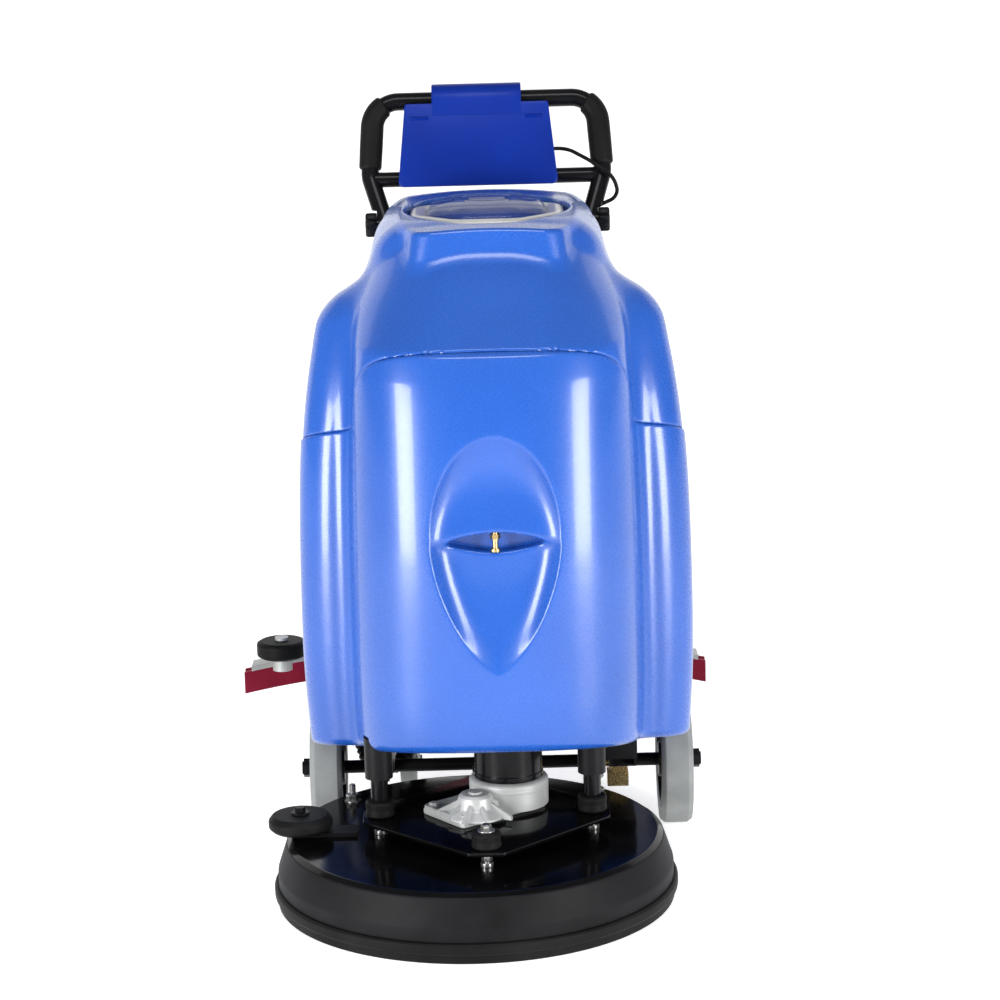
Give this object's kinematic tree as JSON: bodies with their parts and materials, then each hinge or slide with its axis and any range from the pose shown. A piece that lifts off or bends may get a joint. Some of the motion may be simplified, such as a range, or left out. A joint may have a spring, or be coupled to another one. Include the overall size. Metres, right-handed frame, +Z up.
{
  "type": "floor scrubber machine",
  "caption": "Walk-behind battery floor scrubber with a two-tank body, round brush deck, rear squeegee on a lifting arm, drive wheels, casters and a tilting handle.",
  "frame": {"origin": "on the floor below the middle of the machine's box", "axes": "+Z up, the brush deck and front towards -Y, the handle and squeegee towards +Y, the machine's left side at +X"},
  "size_m": [0.754, 1.076, 1.108],
  "materials": {
    "tank_blue": "glossy, slightly orange-peeled rotomoulded polyethylene",
    "panel_blue": "satin moulded cover",
    "lid_clear": "clear moulded dome",
    "lid_grey": "glossy pale grey moulding",
    "frame_black": "gloss black powder coat",
    "chassis_black": "satin black powder coat",
    "deck_black": "gloss black powder coat",
    "black_plastic": "moulded black plastic",
    "battery_case": "moulded battery case",
    "black_rubber": "matte black rubber",
    "red_rubber": "deep red squeegee rubber",
    "tyre_grey": "non-marking light grey tyre",
    "cast_aluminium": "as-cast, lightly blasted",
    "brass_fitting": "turned brass",
    "zinc_steel": "zinc plated",
    "bristle_black": "nylon bristles",
    "button_green": "gloss moulded button"
  },
  "bodies": {
    "chassis": {"solution_tank": "tank_blue", "slot_bolt": "brass_fitting", "batteries": "battery_case", "rear_brackets": "zinc_steel", "chassis_rails": "chassis_black", "chassis_plate": "chassis_black", "chassis_cross": "chassis_black", "chassis_brackets": "chassis_black", "axle": "zinc_steel", "deck_hangers": "chassis_black", "solution_valve": "brass_fitting", "drain_hose": "black_rubber"},
    "recovery": {"recovery_tank": "tank_blue", "vacuum_motor": "black_plastic", "tank_fittings": "zinc_steel"},
    "lid": {"lid_rim": "lid_grey", "lid_dome": "lid_clear"},
    "fill_cap": {"fill_cap": "black_plastic"},
    "handle": {"handle_frame": "frame_black", "grip_left": "black_rubber", "grip_right": "black_rubber", "console_housing": "black_plastic", "panel_cover": "panel_blue", "console_fittings": "black_plastic", "cable": "black_rubber"},
    "key": {"key": "zinc_steel"},
    "flow_dial": {"flow_dial": "black_plastic"},
    "brush_button": {"brush_button": "button_green"},
    "vacuum_button": {"vacuum_button": "button_green"},
    "star_knob_left": {"star_knob_left": "black_plastic"},
    "star_knob_right": {"star_knob_right": "black_plastic"},
    "wheel_left": {"drive_tyre_left": "tyre_grey", "drive_rim_left": "black_plastic"},
    "wheel_right": {"drive_tyre_right": "tyre_grey", "drive_rim_right": "black_plastic"},
    "caster_left": {"caster_fork_left": "zinc_steel"},
    "caster_right": {"caster_fork_right": "zinc_steel"},
    "caster_roll_left": {"caster_wheel_left": "tyre_grey"},
    "caster_roll_right": {"caster_wheel_right": "tyre_grey"},
    "deck": {"deck_cover": "deck_black", "deck_skirt": "black_rubber", "carrier_plate": "deck_black", "deck_fasteners": "zinc_steel", "deck_buffers": "black_rubber", "gearbox": "cast_aluminium", "brush_motor": "frame_black", "bumper_bracket": "zinc_steel"},
    "brush": {"brush_disc": "black_plastic", "brush_bristles": "bristle_black"},
    "deck_bumper": {"deck_bumper": "black_rubber"},
    "squeegee_arm": {"squeegee_arm": "chassis_black"},
    "squeegee_yoke": {"squeegee_yoke": "chassis_black"},
    "squeegee": {"squeegee_body": "cast_aluminium", "blade_front": "red_rubber", "blade_rear": "red_rubber", "blade_clamp": "zinc_steel"},
    "squeegee_roller_left": {"squeegee_roller_left": "black_rubber"},
    "squeegee_roller_right": {"squeegee_roller_right": "black_rubber"},
    "squeegee_lever": {"squeegee_lever": "frame_black"},
    "deck_pedal": {"deck_pedal": "frame_black"}
  },
  "joints": [
    {"name": "recovery_tilt", "type": "hinge", "parent": "chassis", "child": "recovery", "pos_m": [0.04, 0.344, 0.606], "axis": [-1, 0, 0], "range_deg": [0, 60]},
    {"name": "lid_hinge", "type": "hinge", "parent": "recovery", "child": "lid", "pos_m": [0.04, 0.118, 0.956], "axis": [-1, 0, 0], "range_deg": [0, 100]},
    {"name": "handle_tilt", "type": "hinge", "parent": "recovery", "child": "handle", "pos_m": [0.04, 0.352, 0.895], "axis": [-1, 0, 0], "range_deg": [0, 60]},
    {"name": "star_knob_left_turn", "type": "hinge", "parent": "recovery", "child": "star_knob_left", "pos_m": [0.2, 0.352, 0.895], "axis": [1, 0, 0], "continuous": true},
    {"name": "star_knob_right_turn", "type": "hinge", "parent": "recovery", "child": "star_knob_right", "pos_m": [-0.12, 0.352, 0.895], "axis": [1, 0, 0], "continuous": true},
    {"name": "fill_cap_turn", "type": "hinge", "parent": "chassis", "child": "fill_cap", "pos_m": [-0.11, 0.342, 0.48], "axis": [0, 1, 0], "continuous": true},
    {"name": "key_turn", "type": "hinge", "parent": "handle", "child": "key", "pos_m": [-0.051, 0.4395, 1.02356], "axis": [0, 0.9477, 0.3191], "range_deg": [0, 90]},
    {"name": "flow_dial_turn", "type": "hinge", "parent": "handle", "child": "flow_dial", "pos_m": [0.015, 0.45035, 0.99134], "axis": [0, 0.9477, 0.3191], "range_deg": [0, 270]},
    {"name": "brush_button_press", "type": "slide", "parent": "handle", "child": "brush_button", "axis": [0, -0.9477, -0.3191], "range_m": [0, 0.003], "stiffness_N_per_m": 250, "springref_m": -0.001},
    {"name": "vacuum_button_press", "type": "slide", "parent": "handle", "child": "vacuum_button", "axis": [0, -0.9477, -0.3191], "range_m": [0, 0.003], "stiffness_N_per_m": 250, "springref_m": -0.001},
    {"name": "wheel_left_spin", "type": "hinge", "parent": "chassis", "child": "wheel_left", "pos_m": [0.305, 0.062, 0.098], "axis": [1, 0, 0], "continuous": true},
    {"name": "caster_left_swivel", "type": "hinge", "parent": "chassis", "child": "caster_left", "pos_m": [0.19, 0.252, 0.042], "axis": [0, 0, 1], "continuous": true},
    {"name": "caster_left_roll", "type": "hinge", "parent": "caster_left", "child": "caster_roll_left", "pos_m": [0.19, 0.28, 0.042], "axis": [1, 0, 0], "continuous": true},
    {"name": "wheel_right_spin", "type": "hinge", "parent": "chassis", "child": "wheel_right", "pos_m": [-0.225, 0.062, 0.098], "axis": [1, 0, 0], "continuous": true},
    {"name": "caster_right_swivel", "type": "hinge", "parent": "chassis", "child": "caster_right", "pos_m": [-0.11, 0.252, 0.042], "axis": [0, 0, 1], "continuous": true},
    {"name": "caster_right_roll", "type": "hinge", "parent": "caster_right", "child": "caster_roll_right", "pos_m": [-0.11, 0.28, 0.042], "axis": [1, 0, 0], "continuous": true},
    {"name": "deck_lift", "type": "slide", "parent": "chassis", "child": "deck", "axis": [0, 0, 1], "range_m": [0, 0.032]},
    {"name": "deck_pedal_press", "type": "hinge", "parent": "chassis", "child": "deck_pedal", "pos_m": [-0.06, 0.358, 0.38], "axis": [-1, 0, 0], "range_deg": [0, 16]},
    {"name": "brush_spin", "type": "hinge", "parent": "deck", "child": "brush", "pos_m": [0, -0.248, 0.062], "axis": [0, 0, 1], "continuous": true},
    {"name": "deck_bumper_spin", "type": "hinge", "parent": "deck", "child": "deck_bumper", "pos_m": [-0.25, -0.246, 0.102], "axis": [0, 0, 1], "continuous": true},
    {"name": "squeegee_lift", "type": "hinge", "parent": "chassis", "child": "squeegee_arm", "pos_m": [0, 0.154, 0.16], "axis": [1, 0, 0], "range_deg": [-24, 0]},
    {"name": "squeegee_level", "type": "hinge", "parent": "squeegee_arm", "child": "squeegee_yoke", "pos_m": [0, 0.44755, 0.22186], "axis": [1, 0, 0], "range_deg": [0, 24]},
    {"name": "squeegee_swing", "type": "hinge", "parent": "squeegee_yoke", "child": "squeegee", "pos_m": [0, 0.52, 0.22186], "axis": [0, 0, 1], "range_deg": [-4, 4]},
    {"name": "squeegee_roller_left_spin", "type": "hinge", "parent": "squeegee", "child": "squeegee_roller_left", "pos_m": [0.314, 0.378, 0.19], "axis": [0, 0, 1], "continuous": true},
    {"name": "squeegee_roller_right_spin", "type": "hinge", "parent": "squeegee", "child": "squeegee_roller_right", "pos_m": [-0.314, 0.378, 0.19], "axis": [0, 0, 1], "continuous": true},
    {"name": "squeegee_lever_pull", "type": "hinge", "parent": "chassis", "child": "squeegee_lever", "pos_m": [0.19, 0.358, 0.43], "axis": [1, 0, 0], "range_deg": [-24, 0]}
  ],
  "couplings": [
    {"joint": "deck_pedal_press", "follows": "deck_lift", "rad_per_m": 8.7266},
    {"joint": "squeegee_level", "follows": "squeegee_lift", "ratio": -1},
    {"joint": "squeegee_lever_pull", "follows": "squeegee_lift", "ratio": 1}
  ]
}
